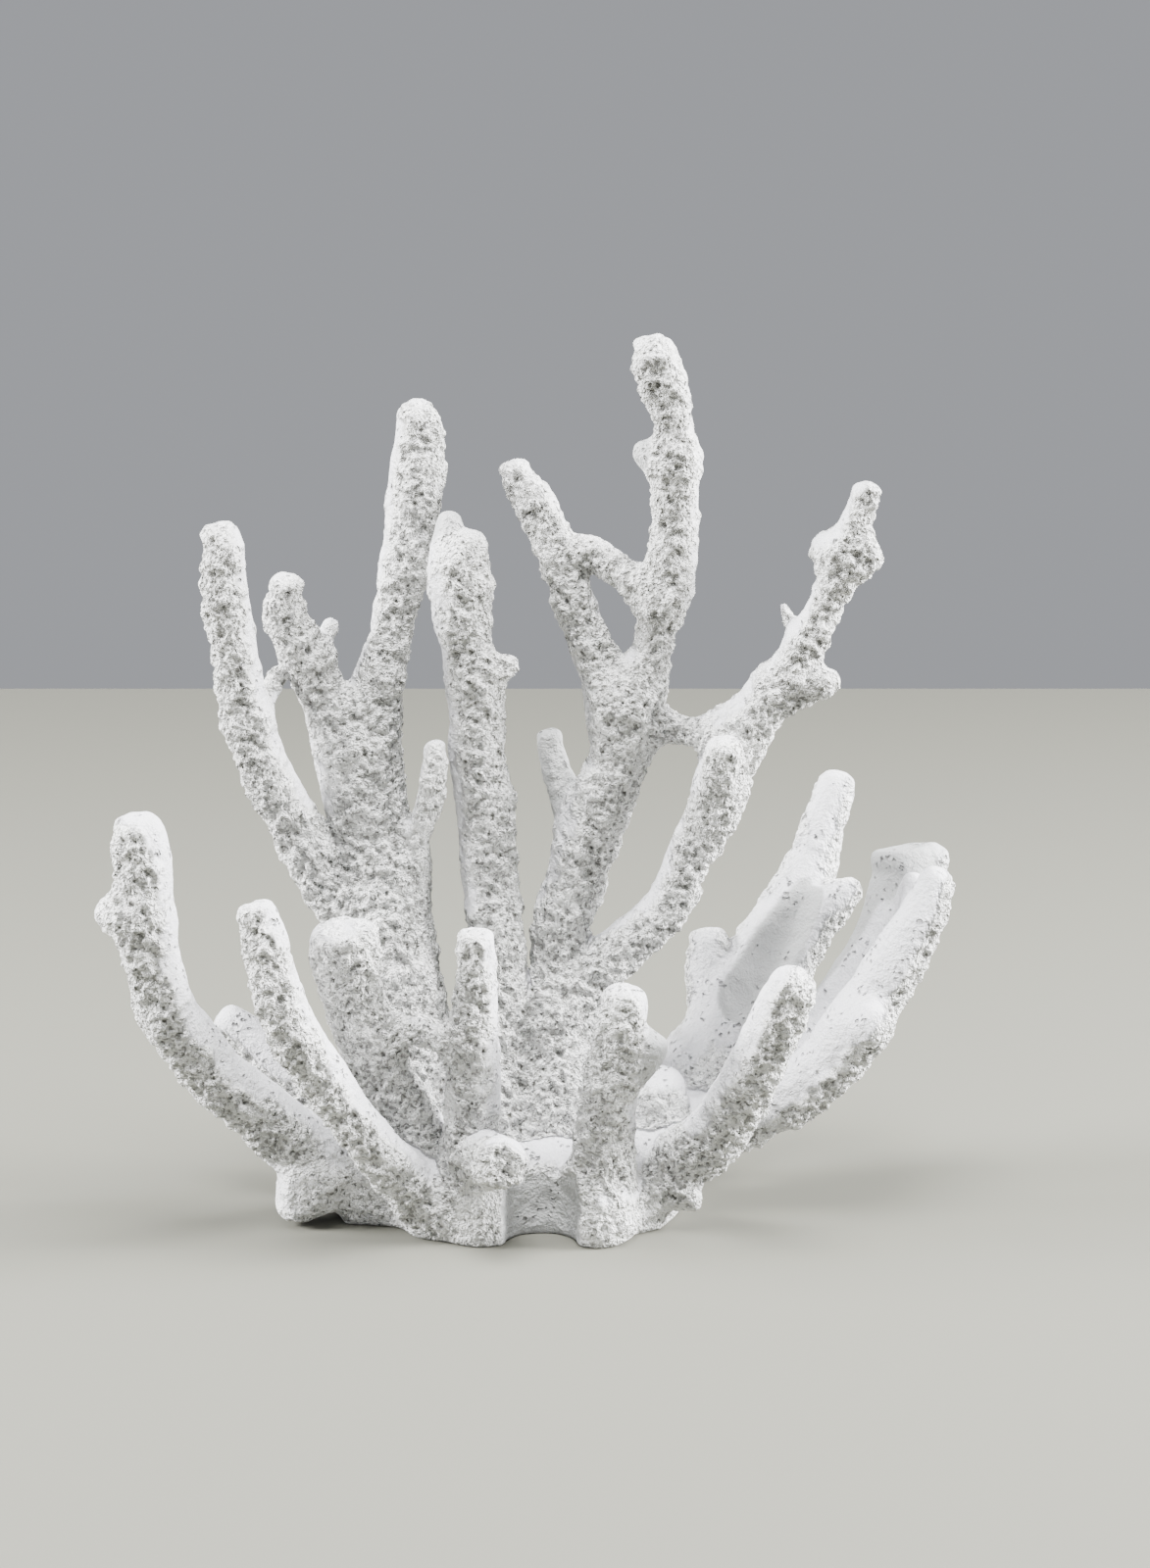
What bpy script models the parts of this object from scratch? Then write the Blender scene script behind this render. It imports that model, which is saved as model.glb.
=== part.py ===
"""Bleached staghorn coral skeleton standing on its flat-cut foot.

The piece is a crust from which knobbly limbs spread: a back row of tall
spires and a front row of short stumps. Each limb is a lumpy tube skinned
over a route of hand-placed points, and it is parted from what it grew on
at a flat face, just above the fork.

X runs to the right, Y away from the viewer and Z up. The origin is in the
middle of the flat underside.
"""

import math
from typing import NamedTuple

import bmesh
import bpy
from mathutils import Vector, noise

MM = 0.001

# Driving dimensions, in millimetres.
PART_GAP = 0.3
RING_STEP = 7.0
RING_SIDES = 8
LUMP_SPACING = 8.0
LUMP_SHARE = 0.16
TIP_RINGS = ((0.24, 0.80), (0.42, 0.45))

CRUST_LEVELS = ((0.0, 1.0), (5.0, 1.04), (12.0, 1.03), (18.0, 0.93), (23.0, 0.76))
BASIN_DEPTH = 5.0

CORAL_COLOUR = (0.82, 0.83, 0.85, 1.0)
CORAL_ROUGHNESS = 0.9


class Limb(NamedTuple):
    """A limb: where it grows, whose sub-part it is, and its route.

    Each point of the route is x, y, z and radius in millimetres. When
    grows_on is given, the limb is parted at the point numbered parted_at:
    the piece before it stays on grows_on as a short collar.
    """

    owner: str
    route: tuple
    grows_on: str = ""
    parted_at: int = 0


# Plan of the underside: one lobe under each front stump, round at the back.
FOOT_OUTLINE = (
    (-46, -7), (-43, -17), (-32, -19), (-21, -24), (-14, -33), (-8, -36), (-2, -34),
    (3, -26), (12, -25), (17, -34), (22, -37), (27, -34), (31, -26), (38, -21), (42, -11),
    (45, 2), (41, 15), (30, 25), (14, 30), (-6, 29), (-23, 25), (-37, 16), (-46, 4),
)

CRUST_LIMBS = (
    # Stub that points at the viewer, low on the front.
    Limb("holdfast", ((-9, -28, 22, 7.5), (-4.5, -40, 24.5, 6.8), (-2, -50, 27, 6.1))),
    # Broken foot on the left, with a lip that reaches the table.
    Limb("holdfast", ((-30, -6, 11, 9), (-42, -9, 13, 9.5), (-50, -13, 13, 10.5), (-55, -14, 13, 10))),
    Limb("holdfast", ((-52, -14, 10, 6.5), (-55, -16, 5.5, 4.5), (-57, -16, 4, 3.4))),
    # Small nub that hangs under the front right limb.
    Limb("holdfast", ((42, -18, 17, 5), (45, -21, 10, 3.8), (46, -22, 6.5, 3.2))),
    # Smooth knob standing in the basin.
    Limb("holdfast", ((40, -2, 16, 9), (38, -5, 27, 8), (37.5, -7, 35, 6.5))),
)

LEFT_LIMBS = (
    Limb(
        "left_trunk",
        ((-24, 3, 12, 12), (-26, 2, 30, 12), (-28, 1, 48, 11.5), (-31, 0, 70, 11.5),
         (-35, 2, 94, 11), (-39, 3, 114, 10.5), (-41, 4, 129, 9.5)),
        "holdfast", 2,
    ),
    # Twig on the inner side of the trunk.
    Limb("left_trunk", ((-27, -2, 88, 4.8), (-24, -5, 99, 3.6), (-20, -7, 112, 3.4), (-19, -8, 124, 3))),
    Limb(
        "left_outer_spire",
        ((-37, 1, 74, 9), (-48, -1, 89, 8), (-55.5, -4, 103, 6.8), (-61, -8, 115, 6.5),
         (-65.5, -11, 127.5, 6.2), (-68, -14, 141.5, 5.8), (-70, -16, 155, 5.8), (-71, -18, 167, 5.8),
         (-71, -19, 175, 5.2), (-71.8, -20, 180, 4.2)),
        "left_trunk", 2,
    ),
    Limb("left_outer_spire", ((-66, -10, 130.5, 3.4), (-61, -4, 137.5, 2.6), (-58, 0, 141.5, 1.8))),
    Limb(
        "left_short_fork",
        ((-42, 4, 121, 7), (-47, 2, 133, 6.5), (-50, 1, 140, 6), (-53, -1, 147, 5.5),
         (-57, -3, 156, 5.5), (-57, -5, 162, 4.6), (-56.5, -6, 165, 4.4)),
        "left_trunk", 2,
    ),
    Limb("left_short_fork", ((-52, 1, 144, 3.2), (-48, 6, 148, 2.4), (-45.5, 8, 153, 2.2))),
    Limb(
        "left_tall_fork",
        ((-38, 4, 118, 8), (-35, 3, 134, 7.2), (-33, 5, 142, 6.5), (-30.5, 7, 151.5, 5.6),
         (-28, 9, 163.5, 6.2), (-26, 11, 175.5, 6.2), (-24.5, 12, 187.5, 7.2), (-23.5, 12, 198.5, 6.2),
         (-23.5, 12, 203.5, 5.4), (-24.5, 12, 207, 4.2)),
        "left_trunk", 2,
    ),
)

CENTRE_LIMBS = (
    Limb(
        "centre_spire",
        ((-5, 0, 20, 11), (-3, 1, 45, 9), (-4, 1, 62, 7.8), (-5, 0, 78, 7.3), (-6, 0, 90, 7.4),
         (-7, -1, 106, 7.4), (-9, -2, 121, 7), (-9, -2, 134, 7), (-11, -3, 146, 6.5),
         (-12.5, -4, 158, 7.6), (-13.5, -5, 167, 6.4), (-13.5, -5, 172, 5.6)),
        "holdfast", 3,
    ),
    # Two tips: a smooth one behind, a blunt one in front.
    Limb("centre_spire", ((-14.5, -3, 166, 4.6), (-15.5, -3, 176, 3.8), (-15.5, -3, 181.5, 3))),
    Limb("centre_spire", ((-11, -6, 165, 4.6), (-10, -6, 173, 4), (-9.5, -6, 176.5, 3.2))),
    Limb("centre_spire", ((-10, -3, 139, 4.6), (-4, -6, 143, 3.8), (1, -8, 144.5, 2.4))),
    Limb(
        "middle_trunk",
        ((9, 2, 18, 14), (11, 3, 40, 11), (12, 4, 60, 8.2), (13, 4, 76, 7.4), (16, 4, 85, 7.8),
         (19, 3, 96, 8), (23, 2, 107, 7.8), (27, 1, 117, 7.7), (28, 1, 126, 7.8), (29, 0, 136, 8.6)),
        "holdfast", 3,
    ),
    # Finger on the left of the trunk, behind it.
    Limb("middle_trunk", ((19, 5, 98, 5.6), (13.5, 9, 107.5, 4.4), (10.5, 12, 116, 3.8), (9, 13, 122.5, 3.6))),
    Limb(
        "middle_left_fork",
        ((27, 1, 132, 6.5), (22, 2, 143, 5.8), (19, 3, 150, 5.2), (16, 5, 157.5, 5.2),
         (13, 7, 166, 4.7), (9, 9, 175, 5), (5.5, 10, 183, 5.3), (2, 11, 188, 4.1), (0, 11, 192, 3.5)),
        "middle_trunk", 2,
    ),
    Limb(
        "tallest_spire",
        ((31, 0, 132, 7), (34, -1, 142, 5.8), (36, -1, 150, 5.1), (37.5, -2, 158, 6.2),
         (40, -3, 167, 6.4), (41, -4, 178, 6), (41, -5, 188, 5.9), (41, -7, 194.5, 6.4),
         (41, -8, 202.5, 4.7), (39, -9, 211.5, 5.6), (37, -10, 217.5, 5.9), (35.5, -10, 222.5, 5.2),
         (35, -10, 225.5, 4.2)),
        "middle_trunk", 2,
    ),
    Limb("tallest_spire", ((40, -7, 196.5, 3.8), (33.5, -7, 197.5, 2.8), (31.5, -6, 199.5, 2))),
    # Bridge from the left fork to the tallest spire.
    Limb(
        "tallest_spire",
        ((12, 7, 168, 4), (19, 6, 170.5, 4), (24, 4, 169, 4.2), (30, 1, 165, 4.3), (38, -2, 160, 4.8)),
        "middle_left_fork", 1,
    ),
)

RIGHT_LIMBS = (
    Limb(
        "right_arm",
        ((10, 3, 52, 8), (20, 2, 61, 7.5), (29, 1, 69, 6.8), (37, -1, 77, 6.2), (42, -3, 85, 6),
         (46, -4, 96, 6), (51, -5, 106, 6.4), (54, -5, 116, 7.2), (58, -6, 126, 7.6), (64, -7, 134.5, 6.5),
         (70.5, -8, 144, 5), (75.5, -9, 153, 4.7), (79.5, -10, 161.5, 4.5), (83.5, -11, 170.5, 5.2),
         (85, -12, 178.5, 4.3), (87.5, -13, 185.5, 3.8), (88.5, -13, 189.5, 3.8)),
        "holdfast", 2,
    ),
    # Bridge from the middle trunk to the arm.
    Limb(
        "right_arm",
        ((27, 1, 127, 6), (35, 0, 127, 5), (40, 0, 127, 4), (47, -2, 126, 3.8), (57, -4, 127, 4.6)),
        "middle_trunk", 2,
    ),
    # Upright stub in front of the bridge.
    Limb("right_arm", ((52, -7, 108, 4.8), (52, -13, 115, 4.7), (53, -17, 122, 4.6), (53.5, -18, 126, 4.2))),
    # Nubs: one blunt on the right, two near the tip, one small on the back.
    Limb("right_arm", ((67, -7, 138.5, 4.6), (76, -10, 140, 4.2), (81, -12, 141, 3.6))),
    Limb("right_arm", ((83, -11, 172, 4.4), (88.5, -12, 172.5, 3.6), (92, -12, 172.5, 2.4))),
    Limb("right_arm", ((83.5, -9, 171.5, 4.4), (78.5, -6, 173.5, 3.4), (76.5, -4, 174.5, 2.4))),
    Limb("right_arm", ((73.5, -6, 150, 2.8), (70, -1, 155, 2), (68.5, 1, 158.5, 1.6))),
    Limb(
        "right_back_limb",
        ((34, 11, 14, 12), (44, 17, 24, 12), (54, 24, 35, 12), (63.5, 31, 49.5, 12), (70.5, 36, 61, 11),
         (75.5, 40, 72.5, 8.6), (79.5, 43, 82, 6.7), (82, 45, 91, 6.1), (85, 47, 99, 5.6), (86.5, 48, 103, 5)),
        "holdfast", 2,
    ),
    Limb("right_back_limb", ((69.5, 35, 59, 9), (79.5, 35, 69, 7.7), (86, 34, 74, 5.2), (91, 34, 76.5, 3))),
    Limb("right_back_limb", ((58, 28, 43, 10), (53.5, 31, 52.5, 8), (51, 32, 64, 4.9))),
    Limb(
        "right_outer_limb",
        ((38, 2, 15, 11), (52, -1, 21, 9), (62, -4, 26, 8), (72, -7, 32.5, 8), (82, -9, 42, 8),
         (90, -10, 54, 8), (97, -10, 66, 7.5), (103, -10, 77, 6.4), (107, -9, 86, 5), (108.5, -9, 90.5, 3.8)),
        "holdfast", 2,
    ),
    # Broad slab behind the outer limb, with a trough between the two.
    Limb(
        "right_outer_limb",
        ((70, -3, 32, 7.5), (79, 5, 43, 8), (88, 10, 53.5, 8.4), (96, 14, 65, 8.6), (100.5, 17, 77, 8.6),
         (103, 19, 87.5, 8.9)),
    ),
    Limb("right_outer_limb", ((78, 0, 40, 7), (88, 1, 53, 7), (96, 3, 66, 6.5), (101, 4, 77, 6), (105, 5, 85, 4.6))),
    # Raised right corner of the slab, and a stub low on the outer face.
    Limb("right_outer_limb", ((103.5, 18, 78.5, 5.5), (108.5, 18, 85.5, 4.8), (110.5, 18, 90.5, 3.6))),
    Limb("right_outer_limb", ((86, -9, 49, 6), (90, -16, 53, 6), (92, -20, 54, 4.8))),
)

FRONT_LIMBS = (
    Limb(
        "right_front_limb",
        ((30, -12, 11, 9), (40, -16, 15, 8.5), (50, -21, 24, 8), (56, -26, 34, 7.6), (61, -32, 45.5, 7.3),
         (64.5, -37, 55.5, 7.1), (68, -42, 66, 6.5), (70, -45, 72.5, 5.1)),
        "holdfast", 2,
    ),
    Limb(
        "front_right_stump",
        ((21, -26, 6, 9), (23, -27, 18, 8.2), (24, -29, 30, 7.4), (25, -32, 43, 6.8), (27, -35, 55.5, 6.4),
         (28.5, -37, 66, 5.5)),
        "holdfast", 2,
    ),
    Limb("front_right_stump", ((26, -33, 45, 4.2), (33, -34, 49, 4.4), (36, -35, 54, 3.8))),
    Limb(
        "front_middle_stump",
        ((-9, -25, 6, 9), (-10, -26, 20, 8), (-10, -28, 34, 7.2), (-9.5, -30, 46.5, 6.8), (-9, -32, 59, 6),
         (-8.5, -34, 71, 4.8), (-8.5, -35, 80.5, 4.5)),
        "holdfast", 2,
    ),
    Limb(
        "front_left_stump",
        ((-17, -15, 8, 10), (-23, -17, 20, 9), (-28, -20, 31, 8.2), (-33, -24, 43, 7.8),
         (-37, -28, 56.5, 7.8), (-40.5, -32, 70, 7.5), (-41, -35, 80, 7.3)),
        "holdfast", 2,
    ),
    # Web that arches from the left stump to the middle one, over a pocket.
    Limb(
        "front_middle_stump",
        ((-35, -26, 50.5, 4.8), (-27, -29, 54.5, 3.6), (-19, -31, 54, 3.2), (-11, -31, 51.5, 3.6)),
        "front_left_stump", 2,
    ),
    Limb(
        "front_left_finger",
        ((-21, -25, 7, 8), (-27, -30, 16, 7), (-34, -35, 26, 6.4), (-41, -39, 37, 6.2), (-47.5, -43, 48.5, 6.5),
         (-53.5, -46, 59, 6.7), (-57.5, -48, 71.5, 6.1), (-59.5, -50, 83, 5.7), (-61.5, -51, 91.5, 4.7)),
        "holdfast", 2,
    ),
    Limb(
        "small_left_limb",
        ((-40, 3, 16, 7), (-48, 3, 24.5, 6), (-56, 3, 33, 5.6), (-64.5, 4, 40, 5.6), (-70.5, 5, 45.5, 5.2),
         (-75, 6, 48.5, 4.3)),
        "holdfast", 2,
    ),
    Limb(
        "far_left_limb",
        ((-42, -7, 12, 9), (-52, -12, 18, 9), (-61, -17, 27, 8.4), (-67.5, -21, 34.5, 8), (-74.5, -25, 42, 7.8),
         (-80, -29, 51, 7.6), (-85, -33, 60, 7.4), (-88, -36, 71.5, 7.1), (-90.5, -38, 82.5, 7.9),
         (-90.5, -40, 93.5, 7.4), (-91, -41, 104, 7.9), (-91.3, -42, 110.5, 6.4)),
        "holdfast", 3,
    ),
    Limb("far_left_limb", ((-90, -38, 85.5, 5.2), (-96.5, -39, 87.5, 4.4), (-100.5, -40, 88, 3))),
)


def clear_scene():
    """Remove every object that the file opened with."""
    for existing in list(bpy.data.objects):
        bpy.data.objects.remove(existing, do_unlink=True)


def coral_material():
    """Chalky bleached coral: off-white, matt, not metallic."""
    material = bpy.data.materials.new("bleached_coral")
    material.use_nodes = True
    shader = material.node_tree.nodes["Principled BSDF"]
    shader.inputs["Base Color"].default_value = CORAL_COLOUR
    shader.inputs["Roughness"].default_value = CORAL_ROUGHNESS
    shader.inputs["Metallic"].default_value = 0.0
    return material


def smooth_between(before, start, end, after, share):
    """Catmull-Rom value between start and end; share runs from 0 to 1."""
    square = share * share
    cube = square * share
    return 0.5 * (
        2.0 * start
        + (end - before) * share
        + (2.0 * before - 5.0 * start + 4.0 * end - after) * square
        + (3.0 * start - before - 3.0 * end + after) * cube
    )


def sample_route(route):
    """Centres and radii along a route, and the sample at each route point."""
    points = [Vector(point) for point in route]
    points = [2.0 * points[0] - points[1]] + points + [2.0 * points[-1] - points[-2]]
    samples = []
    marks = []
    for index in range(1, len(points) - 2):
        before, start, end, after = points[index - 1:index + 3]
        steps = max(1, round((end.xyz - start.xyz).length / RING_STEP))
        marks.append(len(samples))
        for step in range(steps):
            samples.append(smooth_between(before, start, end, after, step / steps))
    marks.append(len(samples))
    samples.append(points[-2])
    centres = [sample.xyz for sample in samples]
    radii = [sample.w for sample in samples]
    return centres, radii, marks


def ring_frames(centres):
    """Direction and two cross axes at each centre, turned as little as can be."""
    last = len(centres) - 1
    frames = []
    side = None
    for index in range(last + 1):
        ahead = centres[min(index + 1, last)]
        behind = centres[max(index - 1, 0)]
        along = (ahead - behind).normalized()
        if side is None:
            side = along.orthogonal()
        side = (side - side.project(along)).normalized()
        frames.append((along, side, along.cross(side)))
    return frames


def lumpy_ring(bm, centre, radius, frame):
    """One ring of vertices whose radius swells and dips from place to place."""
    across, up = frame[1], frame[2]
    ring = []
    for corner in range(RING_SIDES):
        angle = math.tau * corner / RING_SIDES
        spoke = across * math.cos(angle) + up * math.sin(angle)
        swell = noise.noise((centre + spoke * radius) / LUMP_SPACING)
        place = centre + spoke * radius * (1.0 + LUMP_SHARE * swell)
        ring.append(bm.verts.new(place * MM))
    return ring


def skin_rings(bm, rings):
    """Bridge neighbouring rings and close both ends."""
    for lower, upper in zip(rings, rings[1:]):
        for corner in range(len(lower)):
            following = (corner + 1) % len(lower)
            bm.faces.new((lower[corner], lower[following], upper[following], upper[corner]))
    bm.faces.new(tuple(reversed(rings[0])))
    bm.faces.new(tuple(rings[-1]))


def new_object(bm, name):
    """Turn a bmesh into an object of the scene, with its normals outward."""
    bmesh.ops.recalc_face_normals(bm, faces=bm.faces)
    mesh = bpy.data.meshes.new(name)
    bm.to_mesh(mesh)
    bm.free()
    tube = bpy.data.objects.new(name, mesh)
    bpy.context.scene.collection.objects.link(tube)
    return tube


def limb_tube(name, centres, radii, frames, lifted=False, tipped=True):
    """Closed tube over the rings of one limb.

    A lifted tube starts one parting gap along the limb. A tipped one ends
    in a blunt rounded tip, any other in a flat face.
    """
    bm = bmesh.new()
    rings = []
    for index, (centre, radius, frame) in enumerate(zip(centres, radii, frames)):
        if lifted and index == 0:
            centre = centre + frame[0] * PART_GAP
        rings.append(lumpy_ring(bm, centre, radius, frame))
    if tipped:
        for rise, narrowing in TIP_RINGS:
            centre = centres[-1] + frames[-1][0] * (radii[-1] * rise)
            rings.append(lumpy_ring(bm, centre, radii[-1] * narrowing, frames[-1]))
    skin_rings(bm, rings)
    return new_object(bm, name)


def crust_block():
    """Lobed crust that the limbs grow on, flat below and dished above."""
    bm = bmesh.new()
    rings = []
    for height, share in CRUST_LEVELS:
        ring = []
        for x, y in FOOT_OUTLINE:
            place = Vector((x * share, y * share, height))
            if height > 0.0:
                swell = noise.noise(place / LUMP_SPACING)
                place += Vector((x, y, 0.0)).normalized() * swell
            ring.append(bm.verts.new(place * MM))
        rings.append(ring)
    skin_rings(bm, rings)
    top = max(bm.faces, key=lambda face: face.calc_center_median().z)
    bmesh.ops.inset_region(bm, faces=[top], thickness=9.0 * MM)
    for vertex in top.verts:
        vertex.co.z -= BASIN_DEPTH * MM
    return new_object(bm, "crust")


def fuse(name, tubes, material):
    """Unite the tubes of one sub-part into a single closed body."""
    body = tubes[0]
    for tube in tubes[1:]:
        union = body.modifiers.new("grown_on", "BOOLEAN")
        union.operation = "UNION"
        union.solver = "EXACT"
        union.object = tube
    bpy.context.view_layer.update()
    graph = bpy.context.evaluated_depsgraph_get()
    mesh = bpy.data.meshes.new_from_object(body.evaluated_get(graph))
    for tube in tubes:
        bpy.data.objects.remove(tube, do_unlink=True)
    mesh.name = name
    mesh.materials.clear()
    mesh.materials.append(material)
    piece = bpy.data.objects.new(name, mesh)
    bpy.context.scene.collection.objects.link(piece)
    return piece


def set_down_at(piece, root):
    """Move an object's origin to its root without moving its surface."""
    for vertex in piece.data.vertices:
        vertex.co -= root
    piece.location = root


def grow_limbs(limbs):
    """Skin every limb, and sort the tubes by the sub-part they belong to."""
    tubes = {"holdfast": [crust_block()]}
    roots = {"holdfast": Vector((0.0, 0.0, 0.0))}
    for limb in limbs:
        centres, radii, marks = sample_route(limb.route)
        frames = ring_frames(centres)
        own = tubes.setdefault(limb.owner, [])
        if not limb.grows_on:
            own.append(limb_tube(limb.owner, centres, radii, frames))
            continue
        cut = marks[limb.parted_at]
        roots.setdefault(limb.owner, centres[cut] * MM)
        collar = limb_tube(
            limb.owner + "_collar", centres[:cut + 1], radii[:cut + 1], frames[:cut + 1], tipped=False
        )
        tubes.setdefault(limb.grows_on, []).append(collar)
        own.append(limb_tube(limb.owner, centres[cut:], radii[cut:], frames[cut:], lifted=True))
    return tubes, roots


def build():
    """Model the whole coral, one object for each sub-part."""
    clear_scene()
    coral = bpy.data.objects.new("staghorn_coral", None)
    bpy.context.scene.collection.objects.link(coral)
    material = coral_material()
    limbs = CRUST_LIMBS + LEFT_LIMBS + CENTRE_LIMBS + RIGHT_LIMBS + FRONT_LIMBS
    tubes, roots = grow_limbs(limbs)
    for name, parts in tubes.items():
        piece = fuse(name, parts, material)
        set_down_at(piece, roots[name])
        piece.parent = coral


build()
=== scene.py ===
# %% [markdown]
# # A bleached staghorn coral skeleton
#
# Staghorn coral grows as a crust on the reef and sends up limbs that fork, bend and sometimes meet
# again. What is left when the animals die is a white skeleton: rough and full of pits on the sides
# where the polyps sat, and smooth and powdery on the tips, in the troughs and along some flanks.
# This lesson grows the whole skeleton as one body and then parts it into the pieces of the frame.

from typing import NamedTuple

import bpy
import numpy as np
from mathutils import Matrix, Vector


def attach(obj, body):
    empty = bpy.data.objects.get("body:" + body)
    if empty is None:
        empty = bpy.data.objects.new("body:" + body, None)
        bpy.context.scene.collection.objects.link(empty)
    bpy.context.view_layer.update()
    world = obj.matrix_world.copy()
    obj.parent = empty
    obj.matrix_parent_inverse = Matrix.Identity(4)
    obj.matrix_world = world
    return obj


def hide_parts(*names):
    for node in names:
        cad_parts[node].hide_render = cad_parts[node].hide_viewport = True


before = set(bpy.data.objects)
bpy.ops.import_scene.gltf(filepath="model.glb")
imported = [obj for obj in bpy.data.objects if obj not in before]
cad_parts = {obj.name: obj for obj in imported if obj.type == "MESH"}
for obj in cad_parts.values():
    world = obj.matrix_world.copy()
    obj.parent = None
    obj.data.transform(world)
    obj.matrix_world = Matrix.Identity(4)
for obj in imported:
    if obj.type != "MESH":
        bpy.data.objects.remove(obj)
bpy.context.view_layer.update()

# %% [markdown]
# ## The limbs as routes
#
# A limb could be a curve object with a bevel, or a skin modifier on a chain of edges. Both give
# round pipes that only touch where they meet. Here each limb is a route instead: a few points with a
# radius, in millimetres, placed from the photograph. The body that joins them comes from a
# distance field further down. X runs to the right, Y away from the viewer and Z up, and the origin is
# in the middle of the flat cut underneath.

# %% What a limb is
class Limb(NamedTuple):
    """A limb: the piece it belongs to and its route of x, y, z and radius in mm.

    The stretch before the point numbered parted_at stays on the piece grows_on. A bridge ends inside
    another limb. Its polish is how smooth the limb is all round, and above a half the polish also
    paints the limb greyer, as shade. worn is how smooth its tip is, and rim is how rounded the edge
    of its blunt end is, in mm.
    """

    owner: str
    route: tuple
    grows_on: str = ""
    parted_at: int = 0
    polish_and_shade: float = 0.0
    rim: float = 3.0
    worn: float = 0.45
    bridge: bool = False


print("a limb is told by", ", ".join(Limb._fields))

# %% [markdown]
# ## What grows on the crust itself
#
# Low down are a stub that points at the viewer, a broken foot, a small nub and a worn knob that stands
# in the basin. They could be separate lumps pushed into the crust, but as routes they melt into it.

# %% Limbs of the crust
CRUST_LIMBS = (
    # Stub that points at the viewer, low on the front.
    Limb(
        "holdfast",
        ((-9, -28, 22, 7.5), (-4.5, -40, 24.5, 6.8), (-2, -50, 27, 6.1)),
        worn=-0.4, rim=2.0,
    ),
    # Broken foot on the left, with a lip that reaches the table.
    Limb(
        "holdfast",
        ((-30, -6, 11, 9), (-42, -9, 13, 9.5), (-50, -13, 13, 10.5), (-55, -14, 13, 10)),
        polish_and_shade=0.6,
    ),
    Limb("holdfast", ((-52, -14, 10, 6.5), (-55, -16, 5.5, 4.5), (-57, -16, 4, 3.4))),
    # Small nub that hangs under the front right limb.
    Limb("holdfast", ((42, -18, 17, 5), (45, -21, 10, 3.8), (46, -22, 6.5, 3.2))),
    # Smooth knob standing in the basin.
    Limb("holdfast", ((40, -2, 16, 9), (38, -5, 27, 8), (37.5, -7, 35, 6.5)), polish_and_shade=0.55),
)
print(len(CRUST_LIMBS), "routes belong to the crust")

# %% [markdown]
# ## The left trunk and its forks
#
# The thickest trunk divides twice: low down into the curved outer spire, and at the top into a short
# and a tall fork. A fork's route starts inside the trunk, so that there is coral to blend with, and
# parted_at says where the frame has its gap.

# %% Left trunk, outer spire and two forks
LEFT_LIMBS = (
    Limb(
        "left_trunk",
        ((-24, 3, 12, 12), (-26, 2, 30, 12), (-28, 1, 48, 11.5), (-31, 0, 70, 11.5),
         (-35, 2, 94, 11), (-39, 3, 114, 10.5), (-41, 4, 129, 9.5)),
        "holdfast", 2, worn=0.0,
    ),
    # Twig on the inner side of the trunk.
    Limb(
        "left_trunk",
        ((-27, -2, 88, 4.8), (-24, -5, 99, 3.6), (-20, -7, 112, 3.4), (-19, -8, 124, 3)),
        polish_and_shade=0.3,
    ),
    Limb(
        "left_outer_spire",
        ((-37, 1, 74, 9), (-48, -1, 89, 8), (-55.5, -4, 103, 6.8), (-61, -8, 115, 6.5),
         (-65.5, -11, 127.5, 6.2), (-68, -14, 141.5, 5.8), (-70, -16, 155, 5.8), (-71, -18, 167, 5.8),
         (-71, -19, 175, 5.2), (-71.8, -20, 180, 4.2)),
        "left_trunk", 2,
    ),
    Limb("left_outer_spire", ((-66, -10, 130.5, 3.4), (-61, -4, 137.5, 2.6), (-58, 0, 141.5, 1.8))),
    Limb(
        "left_short_fork",
        ((-42, 4, 121, 7), (-47, 2, 133, 6.5), (-50, 1, 140, 6), (-53, -1, 147, 5.5),
         (-57, -3, 156, 5.5), (-57, -5, 162, 4.6), (-56.5, -6, 165, 4.4)),
        "left_trunk", 2,
    ),
    # Twig of the short fork.
    Limb(
        "left_short_fork",
        ((-52, 1, 144, 3.2), (-48, 6, 148, 2.4), (-45.5, 8, 153, 2.2)),
        polish_and_shade=0.6,
    ),
    Limb(
        "left_tall_fork",
        ((-38, 4, 118, 8), (-35, 3, 134, 7.2), (-33, 5, 142, 6.5), (-30.5, 7, 151.5, 5.6),
         (-28, 9, 163.5, 6.2), (-26, 11, 175.5, 6.2), (-24.5, 12, 187.5, 7.2),
         (-23.5, 12, 198.5, 6.2), (-23.5, 12, 203.5, 5.4), (-24.5, 12, 207, 4.2)),
        "left_trunk", 2,
    ),
)
print(len(LEFT_LIMBS), "routes on the left")

# %% [markdown]
# ## The spire and the trunk in the middle
#
# The spire ends in two tips, each a short route of its own. The trunk forks into the tallest spire and
# a thinner limb, and a bridge joins those two again, which leaves an eye between them. A bridge has
# both ends inside other limbs and blends at both.

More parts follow.
